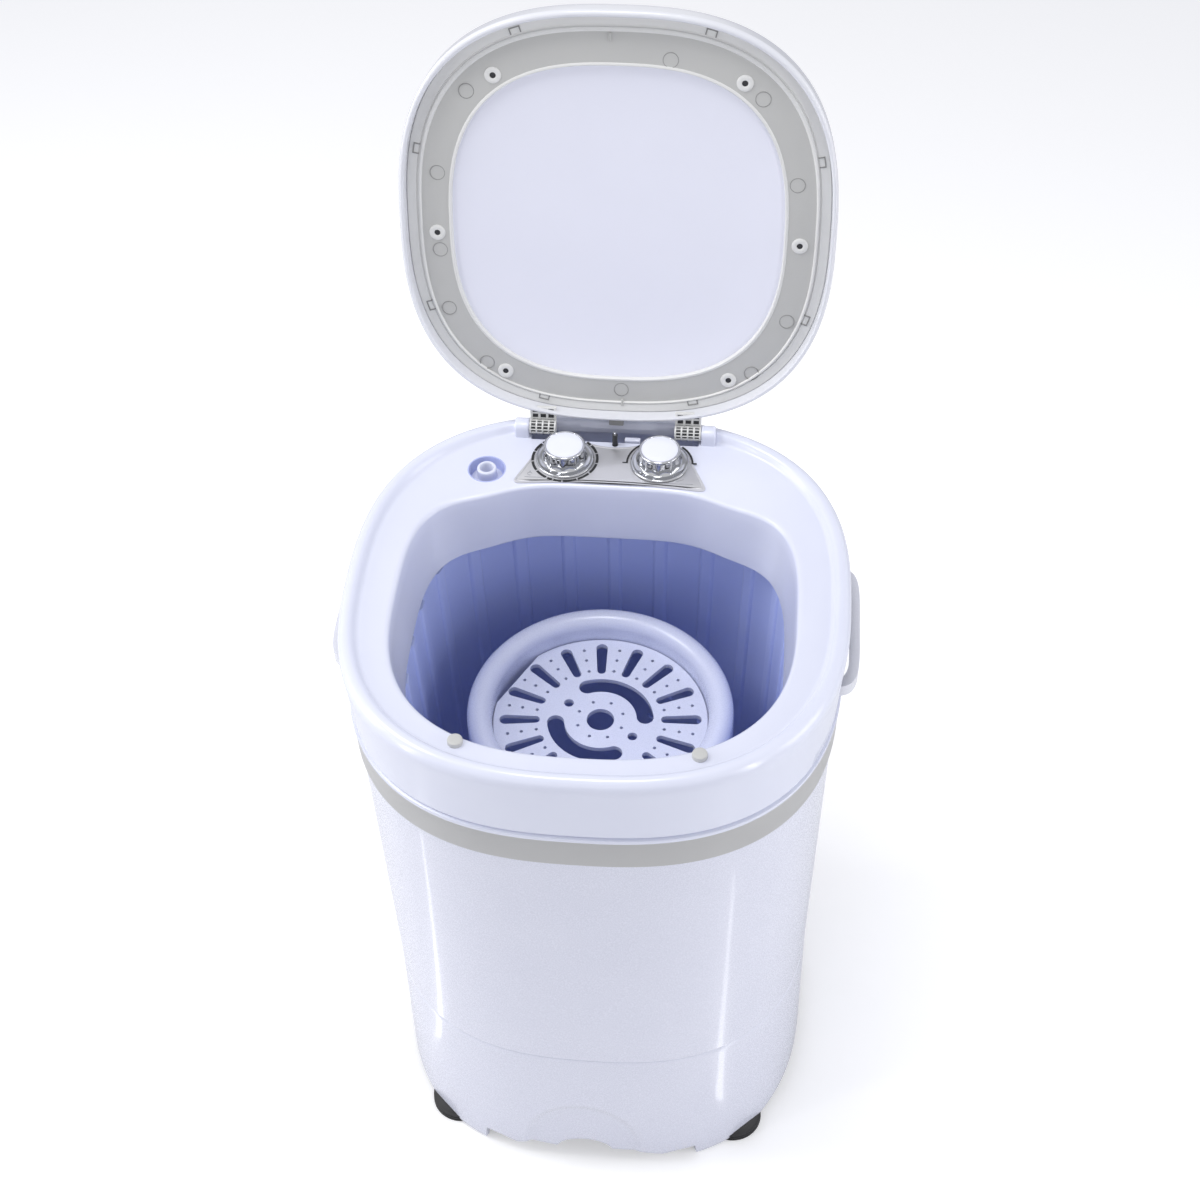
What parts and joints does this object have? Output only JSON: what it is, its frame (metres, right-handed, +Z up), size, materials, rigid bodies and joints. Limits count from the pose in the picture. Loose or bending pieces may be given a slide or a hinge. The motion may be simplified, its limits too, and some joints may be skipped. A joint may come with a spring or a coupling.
{
  "type": "portable washing machine",
  "caption": "Portable washing machine with a rear-hinged lid that stands open, control knobs, side handles and a lift-out spin basket in a blue tub.",
  "frame": {"origin": "on the floor, on the axis of the drive shaft", "axes": "+Z up, -Y towards the front of the machine, +X to the right as the user faces it"},
  "size_m": [0.376, 0.4241, 0.8465],
  "materials": {
    "collar_white": "gloss, moulded",
    "casing_white": "gloss, moulded",
    "trim_grey": "satin",
    "handle_white": "gloss",
    "tub_blue": "gloss, moulded",
    "basket_white": "gloss, moulded",
    "pulsator_blue": "satin",
    "panel_silver": "satin",
    "chrome": "polished",
    "cap_white": "gloss",
    "lid_white": "gloss, moulded",
    "lid_grey": "satin",
    "lid_panel": "gloss",
    "bumper_grey": "matt",
    "foot_black": "matt",
    "black_plastic": "satin",
    "pipe_grey": "satin",
    "unit_cream": "satin",
    "steel": "bright zinc",
    "bracket_steel": "zinc plated",
    "motor_metal": "cast, satin",
    "belt_rubber": "matt",
    "capacitor_case": "satin"
  },
  "bodies": {
    "machine": {"top_collar": "collar_white", "opening_skirt": "collar_white", "outer_casing": "casing_white", "trim_band": "trim_grey", "base_skirt": "casing_white", "base_plate": "casing_white", "feet": "foot_black", "wash_tub": "tub_blue", "tub_flange": "tub_blue", "bearing_housing": "tub_blue", "tub_posts": "tub_blue", "left_handle": "handle_white", "right_handle": "handle_white", "lid_bumpers": "bumper_grey", "control_panel": "panel_silver", "timer_unit": "unit_cream", "selector_unit": "black_plastic", "inlet_nozzle": "collar_white", "inlet_spout": "collar_white", "lid_switch": "black_plastic", "hinge_pins": "steel", "upper_bearing": "steel", "lower_bearing": "steel", "shaft_seal": "belt_rubber", "drive_bracket": "bracket_steel", "drive_belt": "belt_rubber", "motor_case": "motor_metal", "capacitor": "capacitor_case", "drain_pipe": "pipe_grey", "cord_gland": "black_plastic", "base_screws": "steel", "bracket_bolts": "steel"},
    "lid": {"lid_shell": "lid_white", "lid_inner_frame": "lid_grey", "lid_window": "lid_panel", "lid_knuckles": "lid_grey", "lid_screws": "steel", "lid_switch_tab": "lid_grey"},
    "timer": {"timer_spindle": "steel", "timer_knob": "chrome", "timer_knob_cap": "cap_white"},
    "selector": {"selector_spindle": "steel", "selector_knob": "chrome", "selector_knob_cap": "cap_white"},
    "plunger": {"lid_plunger": "steel"},
    "drive": {"drive_shaft": "steel", "pulsator": "pulsator_blue", "pulsator_screw": "steel", "driven_pulley": "black_plastic", "pulley_nut": "steel"},
    "basket": {"spin_basket": "basket_white", "balance_ring": "basket_white"},
    "press": {"press_plate": "basket_white"},
    "rotor": {"motor_shaft": "steel", "motor_pulley": "black_plastic"}
  },
  "joints": [
    {"name": "lid_hinge", "type": "hinge", "parent": "machine", "child": "lid", "pos_m": [0, 0.16, 0.531], "axis": [1, 0, 0], "range_deg": [0, 102]},
    {"name": "timer_turn", "type": "hinge", "parent": "machine", "child": "timer", "pos_m": [-0.0358, 0.1315, 0.53], "axis": [0, 0, -1], "range_deg": [0, 300]},
    {"name": "selector_turn", "type": "hinge", "parent": "machine", "child": "selector", "pos_m": [0.0358, 0.1315, 0.53], "axis": [0, 0, -1], "range_deg": [-100, 100]},
    {"name": "plunger_slide", "type": "slide", "parent": "machine", "child": "plunger", "axis": [0, 0, 1], "range_m": [-0.0073, 0]},
    {"name": "drive_spin", "type": "hinge", "parent": "machine", "child": "drive", "pos_m": [0, 0, 0.1], "axis": [0, 0, 1], "continuous": true},
    {"name": "motor_spin", "type": "hinge", "parent": "machine", "child": "rotor", "pos_m": [0, 0.098, 0.1], "axis": [0, 0, 1], "continuous": true},
    {"name": "basket_lift", "type": "slide", "parent": "drive", "child": "basket", "axis": [0, 0, 1], "range_m": [0, 0.36]},
    {"name": "plate_lift", "type": "slide", "parent": "basket", "child": "press", "axis": [0, 0, 1], "range_m": [0, 0.2]}
  ],
  "couplings": [
    {"joint": "motor_spin", "follows": "drive_spin", "ratio": 4.1667},
    {"joint": "plunger_slide", "follows": "lid_hinge", "m_per_rad": -0.004044}
  ]
}
